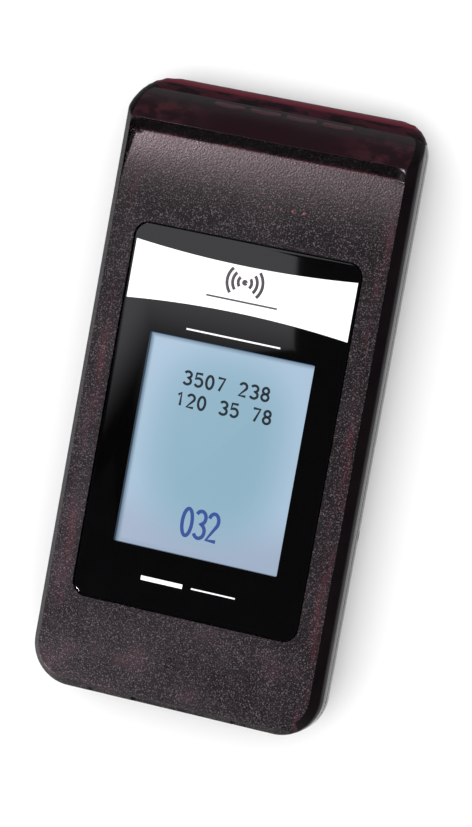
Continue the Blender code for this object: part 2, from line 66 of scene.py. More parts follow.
# The body, in millimetres, as are all the constants below and all lengths that a mesh helper takes
HALF_X = rear_high.x / MM
BOTTOM_Y = rear_low.y / MM
FACE_Z = front_high.z / MM
SEAM_HIGH = front_low.z / MM
SEAM_WIDTH = 0.07
SEAM_LOW = SEAM_HIGH - SEAM_WIDTH
WALL = 1.7

# Plan outline and the edge of the face
RADIUS_TOP = 6.6
RADIUS_BOTTOM = 7.4
BEVEL_INSET = 1.5
BEVEL_SLOPE = 1.35
BEVEL_END = 0.18
EDGE_DEPTH = 3.4
NOTCH_DEPTH = 2.4
TEXTURE_INSET = 1.5

# The nose, which curves down from the ledge to its tip
LEDGE_Y = 45.8
NOSE_TIP_Y = 53.85
NOSE_DROP = 10.5
NOSE_POWER = 1.5
NOSE_EDGE = 1.3
HEAD_END_Y = 50.0

# The finger scoop, which deepens towards the foot of the ledge
SCOOP_START = 30.0
SCOOP_CREASE = 43.6
SCOOP_DEPTH = 1.8
SCOOP_HALF = HALF_X - TEXTURE_INSET
SCOOP_CORNER = 2.0

# The rounding of the rear shell into its flat back
BACK_INSET = 7.4
BACK_HEIGHT = 8.0

# The display window, and what is printed on and around the lens
WINDOW_Y = -8.05
BAND_LOW_Y = 15.2
BAND_HIGH_Y = 25.4
BAND_LOW_BOW = 1.1
BAND_HIGH_BOW = 1.05
WAVE_X, WAVE_Y = 0.4, 21.6
BARS_Y = -31.6
MARK_THICK = 0.03

# The red lamp windows on the nose, and the pin-size lamp marks in the scoop
LAMP_FIRST_X = -11.9
LAMP_PITCH = 6.5
LAMP_ROWS_Y = (49.95, 50.12, 50.29, 50.46, 50.63)
LAMP_COLUMNS = (0.0, 0.25, 2.7, 5.2, 5.45)
PILOT_Y = 35.0


# ---------------------------------------------------------------- materials


class Nodes:
    """A short way to write one material's nodes."""

    def __init__(self, name):
        self.material = bpy.data.materials.new(name)
        self.material.use_nodes = True
        self.tree = self.material.node_tree
        self.shader = self.tree.nodes["Principled BSDF"]
        self.point = self.tree.nodes.new("ShaderNodeTexCoord").outputs["Object"]

    def link(self, value, socket):
        if hasattr(value, "is_output"):
            self.tree.links.new(value, socket)
        elif isinstance(value, (tuple, list)) and len(value) == 3 and socket.type == "RGBA":
            socket.default_value = (*value, 1.0)
        else:
            socket.default_value = value

    def add(self, kind, out=0, settings=None, **inputs):
        node = self.tree.nodes.new(kind)
        for key, value in (settings or {}).items():
            setattr(node, key, value)
        for key, value in inputs.items():
            name = int(key[1:]) if key[0] == "i" and key[1:].isdigit() else key.replace("_", " ")
            self.link(value, node.inputs[name])
        return node.outputs[out]

    def math(self, operation, a, b=0.0, c=0.0):
        return self.add("ShaderNodeMath", settings={"operation": operation}, i0=a, i1=b, i2=c)

    def axis(self, index):
        return self.add("ShaderNodeSeparateXYZ", out=index, i0=self.point)

    def stretch(self, scale, shift=(0, 0, 0)):
        return self.add("ShaderNodeMapping", Vector=self.point, Scale=scale, Location=shift)

    def noise(self, scale, detail=2.0, rough=0.5, vector=None):
        point = vector or self.point
        return self.add("ShaderNodeTexNoise", Vector=point, Scale=scale, Detail=detail, Roughness=rough)

    def cells(self, scale):
        return self.add("ShaderNodeTexVoronoi", Vector=self.point, Scale=scale)

    def fade(self, value, low, high, to_low=0.0, to_high=1.0):
        """Runs smoothly from to_low to to_high while value goes from low to high."""
        node = self.tree.nodes.new("ShaderNodeMapRange")
        node.interpolation_type = "SMOOTHSTEP"
        for index, item in enumerate((value, low, high, to_low, to_high)):
            self.link(item, node.inputs[index])
        return node.outputs[0]

    def mix(self, factor, a, b):
        node = self.tree.nodes.new("ShaderNodeMix")
        node.data_type = "RGBA"
        self.link(factor, node.inputs[0])
        self.link(a, node.inputs[6])
        self.link(b, node.inputs[7])
        return node.outputs[2]

    def bump(self, height, strength, distance):
        normal = self.add("ShaderNodeBump", Height=height, Strength=strength, Distance=distance)
        self.link(normal, self.shader.inputs["Normal"])

    def set(self, **inputs):
        for key, value in inputs.items():
            self.link(value, self.shader.inputs[key.replace("_", " ")])
        return self.material


def spark_plastic(name, ior):
    """Smoke plastic with a fine spark-eroded texture whose pale specks are partly grain and partly painted
    glints, with a faint painted red glow where light leaks in at the sides, along the bottom and at the
    scoop's crease, and painted shade on the ledge wall.
    """
    n = Nodes(name)
    x, y = n.axis(0), n.axis(1)
    grain = n.noise(3000.0, 1.0, 0.5)
    fine = n.noise(4200.0, 2.0, 0.7, n.stretch((1.0, 1.0, 1.0), (0.7, 0.2, 0.4)))
    patch = n.noise(95.0, 3.0, 0.6)
    streak = n.noise(1.0, 3.0, 0.65, n.stretch((420.0, 60.0, 60.0), (0.3, 0.1, 0.0)))
    # Painted red glow where light leaks through the smoke plastic: along the sides, at the bottom and at the
    # scoop's crease.
    across = n.math("ABSOLUTE", n.math("SUBTRACT", x, 0.0005))
    beside = n.math("MULTIPLY", n.fade(across, 0.0214, 0.0230), n.fade(across, 0.0248, 0.0236))
    beside = n.math("MULTIPLY", beside, n.fade(streak, 0.40, 0.66, 0.0, 0.75))
    low = n.math("MULTIPLY", n.fade(y, -0.034, -0.044), n.fade(patch, 0.50, 0.66, 0.0, 0.40))
    fringe = n.math("MULTIPLY", n.fade(y, 0.0430, 0.0436), n.fade(y, 0.0442, 0.0438))
    fringe = n.math("MULTIPLY", fringe, n.fade(patch, 0.36, 0.60, 0.2, 0.9))
    glow = n.math("MAXIMUM", n.math("MAXIMUM", beside, low), fringe)
    ground = n.mix(glow, (0.0012, 0.0006, 0.0010), (0.044, 0.0040, 0.0085))
    # Pale specks: partly the grain, partly painted glints.
    colour = n.mix(n.fade(fine, 0.565, 0.63), ground, (0.0950, 0.0750, 0.0850))
    # Painted shade: the ledge wall is darkened and loses most of its specks.
    ledge = n.fade(y, 0.0436, 0.0440)
    colour = n.mix(n.math("MULTIPLY", ledge, 0.75), colour, (0.0018, 0.0010, 0.0014))
    n.bump(grain, 1.0, 0.000022)
    rough = n.fade(patch, 0.30, 0.70, 0.27, 0.33)
    return n.set(Base_Color=colour, Roughness=rough, IOR=ior)


def nose_gloss():
    """The polished nose of the front shell: see-through smoke over the red lamps, redder at both ends."""
    n = Nodes("nose_gloss")
    x, z = n.axis(0), n.axis(2)
    ends = n.fade(n.math("ABSOLUTE", x), 0.009, 0.021)
    mottle = n.noise(1.0, 3.0, 0.6, n.stretch((260.0, 420.0, 200.0)))
    inside = n.math("MULTIPLY", n.fade(mottle, 0.40, 0.62), ends)
    colour = n.mix(inside, (0.0105, 0.0034, 0.0052), (0.030, 0.0085, 0.0115))
    # Painted shade: the nose is darker towards its tip.
    tip = n.fade(z, 0.0108, 0.0094)
    colour = n.mix(n.math("MULTIPLY", tip, 0.8), colour, (0.0050, 0.0022, 0.0034))
    rough = n.fade(n.noise(60.0), 0.3, 0.7, 0.13, 0.20)
    return n.set(Base_Color=colour, Roughness=rough, Specular_IOR_Level=0.13)


def head_end():
    """The top end of the rear shell, where light comes through the tinted wall as crimson."""
    n = Nodes("head_end")
    z = n.axis(2)
    mottle = n.noise(1.0, 3.0, 0.6, n.stretch((300.0, 300.0, 900.0)))
    dark = n.mix(n.fade(mottle, 0.42, 0.60), (0.0050, 0.0022, 0.0036), (0.022, 0.0045, 0.0075))
    rim = n.math("MULTIPLY", n.fade(z, 0.0068, 0.0062), n.fade(z, 0.0047, 0.0052))
    colour = n.mix(rim, dark, n.mix(mottle, (0.060, 0.0065, 0.0130), (0.075, 0.0085, 0.0170)))
    return n.set(Base_Color=colour, Roughness=0.30, IOR=1.08)


def shaded_bevel():
    """The bevel round the face, in the same smoke plastic with a satin surface. It is darker than the bevel
    on the left and at the bottom, and lacks its pale specks: painted shade where the bevel turns from the
    light.
    """
    n = Nodes("shaded_bevel")
    cloud = n.noise(160.0, 2.0, 0.5)
    colour = n.mix(cloud, (0.0024, 0.0018, 0.0024), (0.0056, 0.0030, 0.0040))
    return n.set(Base_Color=colour, Roughness=n.fade(cloud, 0.3, 0.7, 0.26, 0.36), IOR=1.12)


def gloss_smoke(name, level):
    """Polished smoke plastic, nearly black, with a few faint moulding clouds."""
    n = Nodes(name)
    cloud = n.noise(90.0, 2.0, 0.5)
    colour = n.mix(cloud, (0.0030, 0.0022, 0.0030), (0.0062, 0.0040, 0.0052))
    smear = n.noise(35.0, 3.0, 0.6)
    return n.set(Base_Color=colour, Roughness=n.fade(smear, 0.3, 0.7, 0.07, 0.12), Specular_IOR_Level=level)


def moulded(name, colour, roughness, metallic=0.0, grain=900.0, depth=0.00002, vary=0.12, level=0.5):
    """A plain moulded, rolled or plated surface with faint grain and tone."""
    n = Nodes(name)
    tone = n.noise(140.0, 3.0, 0.6)
    dark = tuple(c * (1.0 - vary) for c in colour)
    light = tuple(min(1.0, c * (1.0 + vary)) for c in colour)
    n.bump(n.noise(grain, 3.0), 0.3, depth)
    return n.set(
        Base_Color=n.mix(tone, dark, light),
        Roughness=n.fade(tone, 0.3, 0.7, roughness * 0.85, min(1.0, roughness * 1.15)),
        Metallic=metallic,
        Specular_IOR_Level=level,
    )


def board_green():
    """Circuit board: green resist over copper tracks, with pads."""
    n = Nodes("board_green")
    tracks = n.add(
        "ShaderNodeTexBrick", Vector=n.point, Color1=(0.010, 0.10, 0.045), Color2=(0.012, 0.13, 0.055),
        Mortar=(0.006, 0.055, 0.026), Scale=320.0, Mortar_Size=0.06,
    )
    pads = n.fade(n.cells(420.0), 0.10, 0.13)
    return n.set(Base_Color=n.mix(pads, (0.62, 0.46, 0.2), tracks), Roughness=0.38)


def lcd_lit():
    """The lit display: blue-green in the middle, paler at the edges and lavender at the bottom."""
    n = Nodes("lcd_lit")
    x, y = n.axis(0), n.axis(1)
    middle_y = (glass_low.y + glass_high.y) / 2
    across = n.math("DIVIDE", n.math("ABSOLUTE", x), 0.0152)
    along = n.math("DIVIDE", n.math("ABSOLUTE", n.math("SUBTRACT", y, middle_y + 0.001)), 0.0187)
    out = n.math("POWER", n.math("ADD", n.math("POWER", across, 2.4), n.math("POWER", along, 3.0)), 0.8)
    edge = n.fade(out, 0.12, 1.15)
    bottom = n.fade(y, middle_y - 0.006, glass_low.y + 0.002)
    pale = n.mix(bottom, (0.435, 0.585, 0.735), (0.375, 0.465, 0.605))
    colour = n.mix(edge, (0.285, 0.465, 0.585), pale)
    pixels = n.noise(5200.0, 0.0)
    colour = n.mix(n.math("MULTIPLY", n.fade(pixels, 0.35, 0.65), 0.03), colour, (0.2, 0.3, 0.45))
    # Painted shadow along the top and left edges, and at the very edge a thin painted blue line that stands
    # in for the window's inner wall lit by the display.
    shade_top = n.fade(y, 0.0092, 0.0101)
    shade_left = n.fade(x, -0.01385, -0.01465)
    shade_edge = n.math("MULTIPLY", n.math("MAXIMUM", shade_top, shade_left), 0.62)
    colour = n.mix(shade_edge, colour, (0.10, 0.13, 0.16))
    line = n.math("MAXIMUM", n.fade(y, 0.01000, 0.01005), n.fade(x, -0.01460, -0.01466))
    colour = n.mix(n.math("MULTIPLY", line, 0.8), colour, (0.035, 0.12, 0.30))
    return n.set(
        Base_Color=n.mix(0.97, colour, (0.0, 0.0, 0.0)), Emission_Color=colour, Emission_Strength=0.93,
        Roughness=0.22, Specular_IOR_Level=0.3,
    )


# ---------------------------------------------------------------- mesh helpers


def add_mesh(name, points, faces, materials, slots=None):
    """A mesh object from points in millimetres, with a material slot for each face if asked."""
    mesh = bpy.data.meshes.new(name)
    mesh.from_pydata([tuple(c * MM for c in p) for p in points], [], [tuple(map(int, f)) for f in faces])
    for item in materials:
        mesh.materials.append(item)
    if slots is not None:
        mesh.polygons.foreach_set("material_index", np.asarray(slots, dtype=np.int32))
    obj = bpy.data.objects.new(name, mesh)
    bpy.context.scene.collection.objects.link(obj)
    face_outwards(obj)
    shade(obj)
    return obj


def face_outwards(obj):
    builder = bmesh.new()
    builder.from_mesh(obj.data)
    bmesh.ops.recalc_face_normals(builder, faces=builder.faces)
    builder.to_mesh(obj.data)
    builder.free()


def shade(obj):
    obj.data.shade_smooth()
    obj.data.set_sharp_from_angle(angle=SMOOTH_ANGLE)


def cut(obj, cutters):
    for cutter in cutters:
        modifier = obj.modifiers.new("Cut", "BOOLEAN")
        modifier.operation = "DIFFERENCE"
        modifier.solver = "EXACT"
        modifier.object = cutter


def settle(obj, helpers):
    """Applies the object's modifiers, removes its helpers and shades it again."""
    bpy.context.view_layer.update()
    graph = bpy.context.evaluated_depsgraph_get()
    mesh = bpy.data.meshes.new_from_object(obj.evaluated_get(graph))
    obj.modifiers.clear()
    old = obj.data
    obj.data = mesh
    mesh.name = obj.name
    bpy.data.meshes.remove(old)
    for item in helpers:
        bpy.data.objects.remove(item, do_unlink=True)
    shade(obj)
    return obj


def outline(half_x, low_y, high_y, low_radius, high_radius, steps):
    """The points round a rectangle that is centred on x = 0, with each corner rounded in this many steps."""
    points = []
    corners = (
        (half_x - low_radius, low_y + low_radius, low_radius, -90),
        (half_x - high_radius, high_y - high_radius, high_radius, 0),
        (-half_x + high_radius, high_y - high_radius, high_radius, 90),
        (-half_x + low_radius, low_y + low_radius, low_radius, 180),
    )
    for cx, cy, radius, start in corners:
        for step in range(steps + 1):
            angle = math.radians(start + 90 * step / steps)
            points.append((cx + radius * math.cos(angle), cy + radius * math.sin(angle)))
    return points


def stack(name, levels, materials):
    """A closed solid through outlines of equal length, given as (z, points)."""
    count = len(levels[0][1])
    points = [(x, y, z) for z, ring in levels for x, y in ring]
    faces = []
    for level in range(len(levels) - 1):
        for i in range(count):
            j = (i + 1) % count
            a, b = level * count, (level + 1) * count
            faces.append((a + i, a + j, b + j, b + i))
    faces.append(tuple(reversed(range(count))))
    faces.append(tuple(range((len(levels) - 1) * count, len(levels) * count)))
    return add_mesh(name, points, faces, materials)


def plate(name, low_z, high_z, half_x, centre_y, length, radius, materials, steps, bevel=0.0, centre_x=0.0):
    """A flat plate with corners rounded in this many steps and, if asked, a rounded upper edge."""
    levels = [(low_z, 0.0)]
    if bevel:
        for step in range(5):
            angle = math.radians(90 * step / 4)
            levels.append((high_z - bevel + bevel * math.sin(angle), bevel * (1 - math.cos(angle))))
    else:
        levels.append((high_z, 0.0))
    rings = []
    for z, inset in levels:
        half_y = length / 2 - inset
        inner = max(radius - inset, 0.05)
        ring = outline(half_x - inset, centre_y - half_y, centre_y + half_y, inner, inner, steps)
        rings.append((z, [(x + centre_x, y) for x, y in ring]))
    return stack(name, rings, materials)


def box(name, low, high, materials=()):
    points = [(x, y, z) for z in (low[2], high[2]) for y in (low[1], high[1]) for x in (low[0], high[0])]
    faces = [(0, 2, 3, 1), (4, 5, 7, 6), (0, 1, 5, 4), (2, 6, 7, 3), (0, 4, 6, 2), (1, 3, 7, 5)]
    return add_mesh(name, points, faces, materials)


def rod(name, radius, low, high, axis):
    """A cylinder between two points that differ along one axis only, x or z."""
    segments = 32
    turn = {"x": (1, 2, 0), "z": (0, 1, 2)}[axis]
    points = []
    for end in (low, high):
        for i in range(segments):
            angle = 2 * math.pi * i / segments
            local = (radius * math.cos(angle), radius * math.sin(angle))
            point = [0.0, 0.0, 0.0]
            point[turn[0]] = end[turn[0]] + local[0]
            point[turn[1]] = end[turn[1]] + local[1]
            point[turn[2]] = end[turn[2]]
            points.append(tuple(point))
    faces = [tuple(reversed(range(segments))), tuple(range(segments, 2 * segments))]
    for i in range(segments):
        j = (i + 1) % segments
        faces.append((i, j, segments + j, segments + i))
    return add_mesh(name, points, faces, ())


def prism(name, section, half_x):
    """A solid along X whose section is the closed outline of (y, z) points."""
    count = len(section)
    points = [(x, y, z) for x in (-half_x, half_x) for y, z in section]
    faces = [tuple(reversed(range(count))), tuple(range(count, 2 * count))]
    for i in range(count):
        j = (i + 1) % count
        faces.append((i, j, count + j, count + i))
    return add_mesh(name, points, faces, ())


# ---------------------------------------------------------------- shape of the body


def edge_drop(inset, radius):
    """How far a rounded edge of this radius falls at a distance inside the outline."""
    near = np.clip(radius - inset, 0, radius)
    return radius - np.sqrt(radius**2 - near**2)


def bevel_drop(inset):
    """How far the front edge falls inside the outline: a straight bevel that blends into the upright side."""
    straight = soft_max((BEVEL_INSET - inset) * BEVEL_SLOPE, 0.0, 0.06)
    end = (BEVEL_INSET - BEVEL_END) * BEVEL_SLOPE
    u = np.clip(1 - inset / BEVEL_END, 0, 1)
    start_slope = BEVEL_SLOPE * BEVEL_END / (EDGE_DEPTH - end)
    blend = end + (EDGE_DEPTH - end) * (start_slope * u + (1 - start_slope) * (1 - np.sqrt(1 - u**2)))
    return np.where(inset < BEVEL_END, blend, straight)


def soft_min(a, b, width):
    """The smaller of two heights, blended where they are closer than the width."""
    mixed = np.clip(0.5 + 0.5 * (b - a) / width, 0, 1)
    return b * (1 - mixed) + a * mixed - width * mixed * (1 - mixed)


def soft_max(a, b, width):
    return -soft_min(-a, -b, width)


def nose_z(y):
    """Height of the nose surface at a place along the body. nose_y is its inverse."""
    part = np.clip((NOSE_TIP_Y - y) / (NOSE_TIP_Y - LEDGE_Y), 0, None)
    return FACE_Z - NOSE_DROP + NOSE_DROP * part ** (1 / NOSE_POWER)


def nose_y(z):
    part = np.clip((z - FACE_Z + NOSE_DROP) / NOSE_DROP, 0, None)
    return NOSE_TIP_Y - (NOSE_TIP_Y - LEDGE_Y) * part**NOSE_POWER


def inset_of(x, y):
    """Distance inside the body's plan outline."""
    low = y < 0
    radius = np.where(low, RADIUS_BOTTOM, RADIUS_TOP)
    ends = np.where(low, -BOTTOM_Y, NOSE_TIP_Y)
    qx = np.abs(x) - (HALF_X - radius)
    qy = np.where(low, -y, y) - (ends - radius)
    away = np.hypot(np.maximum(qx, 0), np.maximum(qy, 0)) + np.minimum(np.maximum(qx, qy), 0)
    return radius - away


def surface_z(x, y):
    """Height of the front shell's outer surface."""
    inset = inset_of(x, y)
    face = FACE_Z - bevel_drop(inset)
    nose = nose_z(y) - edge_drop(inset, NOSE_EDGE)
    top = soft_min(face, nose, 0.22)
    beyond = np.clip(np.abs(x) - (SCOOP_HALF - SCOOP_CORNER), 0, SCOOP_CORNER * 0.995)
    wall_y = LEDGE_Y - (SCOOP_CORNER - np.sqrt(SCOOP_CORNER**2 - beyond**2))
    part = np.clip((y - SCOOP_START) / (SCOOP_CREASE - SCOOP_START), 0, 1.2)
    floor = -SCOOP_DEPTH * part**2
    wall = (y - wall_y) * SCOOP_DEPTH / (LEDGE_Y - SCOOP_CREASE)
    side = (np.abs(x) - SCOOP_HALF + 0.02) * 12.0
    scoop = FACE_Z + soft_max(soft_max(floor, wall, 0.08), side, 0.25)
    return np.where(y > SCOOP_START - 1, soft_min(top, scoop, 0.12), top)


EDGE_INSETS = [BEVEL_END * (1 - math.sin(math.radians(a))) for a in range(90, -1, -15)]
EDGE_INSETS += [0.3, 0.5, 0.8, 1.1, 1.3, 1.42, 1.47, BEVEL_INSET, 1.53, 1.6]


def front_columns():
    """Half of the lines across the body, from the middle to the edge."""
    edge = [HALF_X - inset for inset in EDGE_INSETS]
    scoop = [SCOOP_HALF - d for d in (0.55, 0.3, 0.17, 0.07, 0.04, 0.02, -0.05)]
    plain = [0, 3, 6, 9, 12, 15, 17, 18.7, 19.5, 20.3, 21.1, 21.9, 22.6, 23.2]
    return sorted(set(round(c, 4) for c in plain + edge + scoop))


def front_rows():
    """The lines along the body, closest where the surface bends most."""
    edge = [BOTTOM_Y + inset for inset in EDGE_INSETS]
    low = list(np.arange(BOTTOM_Y + 2.4, BOTTOM_Y + 7.3, 0.8)) + [BOTTOM_Y + RADIUS_BOTTOM]
    plain = list(np.arange(-43.5, 29.0, 3.0))
    scoop = list(np.arange(29.0, 43.0, 0.6))
    crease = [43.1, 43.3, 43.45, 43.6, 43.75, 43.9, 44.1, 44.35]
    wall = [44.7, 45.0, 45.25, 45.42, 45.55, 45.64, 45.72, 45.79, 45.86, 45.94, 46.04, 46.2, 46.45]
    nose = list(np.arange(46.75, 49.0, 0.3))
    end = float(nose_y(SEAM_HIGH))
    start = float(nose_y(SEAM_HIGH + NOSE_EDGE))
    last = [start + (end - start) * math.sin(math.radians(a)) for a in range(0, 91, 9)]
    return sorted(edge + low + plain + scoop + crease + wall + nose + last)


def place_lines(x, y):
    """Bends the straight lines into the rounded corners."""
    x, y = x.copy(), y.copy()
    side = np.sign(x)
    size = np.abs(x)
    cx, cy = HALF_X - RADIUS_BOTTOM, BOTTOM_Y + RADIUS_BOTTOM
    a = (size - cx) / RADIUS_BOTTOM
    b = (cy - y) / RADIUS_BOTTOM
    corner = (a > 0) & (b > 0)
    biggest = np.maximum(a, b)
    with np.errstate(divide="ignore", invalid="ignore"):
        angle = np.where(a >= b, math.pi / 4 * b / a, math.pi / 2 - math.pi / 4 * a / b)
        bent_x = cx + RADIUS_BOTTOM * biggest * np.cos(angle)
        bent_y = cy - RADIUS_BOTTOM * biggest * np.sin(angle)
    size = np.where(corner, bent_x, size)
    y = np.where(corner, bent_y, y)
    high = y > NOSE_TIP_Y - RADIUS_TOP
    up = np.clip(y - (NOSE_TIP_Y - RADIUS_TOP), 0, RADIUS_TOP)
    width = HALF_X - RADIUS_TOP + np.sqrt(RADIUS_TOP**2 - up**2)
    spare = np.clip(nose_z(y) - SEAM_HIGH, 0, NOSE_EDGE)
    width = width - np.where(high, NOSE_EDGE - np.sqrt(NOSE_EDGE**2 - (NOSE_EDGE - spare) ** 2), 0)
    start = HALF_X - RADIUS_TOP
    squeezed = start + (size - start) / RADIUS_TOP * (width - start)
    size = np.where(high & (size > start), squeezed, size)
    return side * size, y


def front_slot(x, y):
    """The material slot of the front surface at a place on its flat grid."""
    within = SCOOP_HALF + 0.01
    if abs(x) < within and y > LEDGE_Y:
        return NOSE
    if abs(x) < within and BOTTOM_Y + TEXTURE_INSET < y < LEDGE_Y - 0.12:
        return SPARK
    if -HALF_X + BEVEL_END < x < within and BOTTOM_Y + BEVEL_END < y < LEDGE_Y:
        return SPARK_BEVEL
    return BEVEL


def front_surface():
    """The front shell as a solid down to the seam: its points, its faces and each face's material slot."""
    half = front_columns()
    columns = np.array([-c for c in reversed(half[1:])] + half)
    rows = np.array(front_rows())
    grid_x, grid_y = np.meshgrid(columns, rows)
    x, y = place_lines(grid_x, grid_y)
    z = np.maximum(surface_z(x, y), SEAM_HIGH)
    z[-1, :] = SEAM_HIGH
    nx, ny = len(columns), len(rows)
    points = [(x[r, c], y[r, c], z[r, c]) for r in range(ny) for c in range(nx)]
    faces, slots = [], []
    for r in range(ny - 1):
        for c in range(nx - 1):
            a = r * nx + c
            faces.append((a, a + 1, a + nx + 1, a + nx))
            slots.append(front_slot((columns[c] + columns[c + 1]) / 2, (rows[r] + rows[r + 1]) / 2))
    # The upright sides go down to the seam all round, except along the nose, which reaches it by itself.
    border = [r * nx for r in range(ny - 1, -1, -1)]
    border += list(range(1, nx))
    border += [r * nx + nx - 1 for r in range(1, ny)]
    previous = border
    for share, inset in ((0.5, 0.0), (0.04, 0.0), (0.0, 0.04)):
        ring = []
        for at, index in enumerate(border):
            px, py, pz = points[index]
            if at in (0, len(border) - 1):
                ring.append(index)
                continue
            before, after = points[border[at - 1]], points[border[at + 1]]
            along = Vector((after[0] - before[0], after[1] - before[1], 0)).normalized()
            low = SEAM_HIGH + (pz - SEAM_HIGH) * share
            ring.append(len(points))
            points.append((px - along.y * inset, py + along.x * inset, low))
        for at in range(len(border) - 1):
            quad = [previous[at], previous[at + 1], ring[at + 1], ring[at]]
            quad = list(dict.fromkeys(quad))
            if len(quad) > 2:
                faces.append(tuple(quad))
                slots.append(GLOSS)
        previous = ring
    top_row = [(ny - 1) * nx + c for c in range(nx - 2, 0, -1)]
    faces.append(tuple(previous + top_row))
    slots.append(GLOSS)
    return points, faces, slots


def make_front_case(materials):
    """The front shell: textured face and scoop, polished nose and sides, hollow behind."""
    points, faces, slots = front_surface()
    shell = add_mesh("front_case", points, faces, materials, slots)
    helpers = [front_hollow()]
    recess_floor = lens_low.z / MM - 0.3
    centre_y = (lens_low.y + lens_high.y) / 2 / MM
    length = (lens_high.y - lens_low.y) / MM + 0.44
    half_x = lens_high.x / MM + 0.22
    helpers.append(plate("recess", recess_floor, FACE_Z + 1, half_x, centre_y, length, 2.7, (), 14))
    helpers.append(plate("window", SEAM_HIGH - 1, FACE_Z + 1, 15.5, WINDOW_Y, 38.0, 1.0, (), 4))
    for left, right, deep in ((-14.75, -11.7, 0.8), (-6.9, 6.6, 0.9), (11.4, 14.3, 0.8)):
        low = (left, BOTTOM_Y - 1, FACE_Z - NOTCH_DEPTH)
        helpers.append(box("notch", low, (right, BOTTOM_Y + deep, FACE_Z + 1)))
    cut(shell, helpers)
    return settle(shell, helpers)


def body_ring(inset, steps=8):
    """The body's plan outline, drawn in all round."""
    return outline(
        HALF_X - inset, BOTTOM_Y + inset, NOSE_TIP_Y - inset,
        max(RADIUS_BOTTOM - inset, 0.5), max(RADIUS_TOP - inset, 0.5), steps,
    )


def nose_block(name, inwards):
    """Everything beyond the nose surface moved inwards."""
    curve = []
    for step in range(13):
        depth = NOSE_DROP * (1 - step / 12)
        curve.append((float(nose_y(FACE_Z - depth)) - inwards * 1.25, FACE_Z - depth - inwards * 0.4))
    slope = (curve[-1][0] - curve[-2][0]) / (curve[-1][1] - curve[-2][1])
    curve.append((curve[-1][0] + slope * 3, curve[-1][1] + 3))
    far = NOSE_TIP_Y + 3
    foot = curve[0][1] - 0.2
    section = [(curve[0][0] + 0.02, foot), *curve, (far, curve[-1][1]), (far, foot)]
    return prism(name, section, HALF_X + 3)


def front_hollow():
    """The inside of the front shell, lower under the scoop and behind the nose."""
    ceiling, scoop_ceiling, chamfer = 11.4, 10.2, 0.8
    levels = [
        (SEAM_HIGH - 1, body_ring(WALL)),
        (ceiling - chamfer, body_ring(WALL)),
        (ceiling, body_ring(WALL + chamfer)),
    ]
    hollow = stack("front_hollow", levels, ())
    block = box("under_scoop", (-HALF_X, SCOOP_START + 4, scoop_ceiling), (HALF_X, NOSE_TIP_Y, FACE_Z))
    nose = nose_block("nose_inside", WALL)
    cut(hollow, [block, nose])
    return settle(hollow, [block, nose])


def rear_ring(z, inset):
    """The rear shell's outline at a height, drawn in where the nose and its rounded edge pass."""
    ring = np.array(body_ring(inset, 36))
    x, y = ring[:, 0], ring[:, 1].copy()
    for _ in range(30):
        drop = edge_drop(np.clip(inset_of(x, y), 0, None), NOSE_EDGE)
        limit = nose_y(z + drop)
        nearer = 0.5 * y + 0.5 * np.minimum(limit, ring[:, 1])
        y = np.where(ring[:, 1] > 40, np.minimum(ring[:, 1], nearer), y)
    return list(zip(x.tolist(), y.tolist()))


def make_rear_case(materials):
    """The rear shell: polished sides that round into a flat back, hollow inside."""
    levels = []
    for step in range(15):
        angle = math.radians(90 * step / 14)
        inset = BACK_INSET * (1 - math.sin(angle))
        z = BACK_HEIGHT * (1 - math.cos(angle))
        levels.append((z, rear_ring(z, inset)))
    levels.append((SEAM_LOW - 0.04, rear_ring(SEAM_LOW - 0.04, 0.0)))
    levels.append((SEAM_LOW, rear_ring(SEAM_LOW, 0.04)))
    shell = stack("rear_case", levels, materials)
    for face in shell.data.polygons:
        face.material_index = 1 if face.center.y > HEAD_END_Y * MM and abs(face.normal.z) < 0.95 else 0
    floor = 1.5
    inside = [
        (floor, body_ring(WALL + 3.4)),
        (floor + 1.2, body_ring(WALL + 1.9)),
        (floor + 3.0, body_ring(WALL + 0.8)),
        (SEAM_LOW - 1, body_ring(WALL)),
        (SEAM_LOW + 1, body_ring(WALL)),
    ]
    hollow = stack("rear_hollow", inside, ())
    nose = nose_block("nose_inside", WALL)
    cut(hollow, [nose])
    settle(hollow, [nose])
    helpers = [hollow]
    for index in range(1, 5):
        low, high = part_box(f"case_screw_{index}")
        sx, sy = (low.x + high.x) / 2 / MM, (low.y + high.y) / 2 / MM
        helpers.append(rod("screw_hole", 1.9, (sx, sy, -1), (sx, sy, 2.5), "z"))
    low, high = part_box("back_label")
    middle = (low.y + high.y) / 2 / MM
    length = (high.y - low.y) / MM + 0.6
    helpers.append(plate("label_recess", -1, 0.5, high.x / MM + 0.3, middle, length, 2.0, (), 6))
    low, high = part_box("side_button")
    by, bz = (low.y + high.y) / 2 / MM, (low.z + high.z) / 2 / MM
    helpers.append(rod("button_hole", 1.0, (HALF_X - 3, by, bz), (HALF_X + 3, by, bz), "x"))
    for name in ("charge_contact_left", "charge_contact_right"):
        low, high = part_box(name)
        mx = (low.x + high.x) / 2 / MM
        helpers.append(box("contact_slot", (mx - 1.5, BOTTOM_Y - 1, 3.9), (mx + 1.5, BOTTOM_Y + 4, 6.9)))
    cut(shell, helpers)
    return settle(shell, helpers)


def make_seam_lip(material):
    """The lip that shows as a thin line between the shells."""
    def ring(inset):
        points = np.array(body_ring(inset, 24))
        y = np.minimum(points[:, 1], float(nose_y(SEAM_HIGH)) - inset)
        return list(zip(points[:, 0].tolist(), y.tolist()))
    outer, inner = ring(0.45), ring(1.6)
    count = len(outer)
    low, high = SEAM_HIGH - 0.5, SEAM_HIGH + 0.5
    rings = ((low, outer), (high, outer), (high, inner), (low, inner))
    points = [(x, y, z) for z, ring_points in rings for x, y in ring_points]
    faces = []
    for level in range(4):
        for i in range(count):
            j = (i + 1) % count
            a, b = level * count, (level + 1) % 4 * count
            faces.append((a + i, a + j, b + j, b + i))
    return add_mesh("seam_lip", points, faces, [material])


# ---------------------------------------------------------------- display


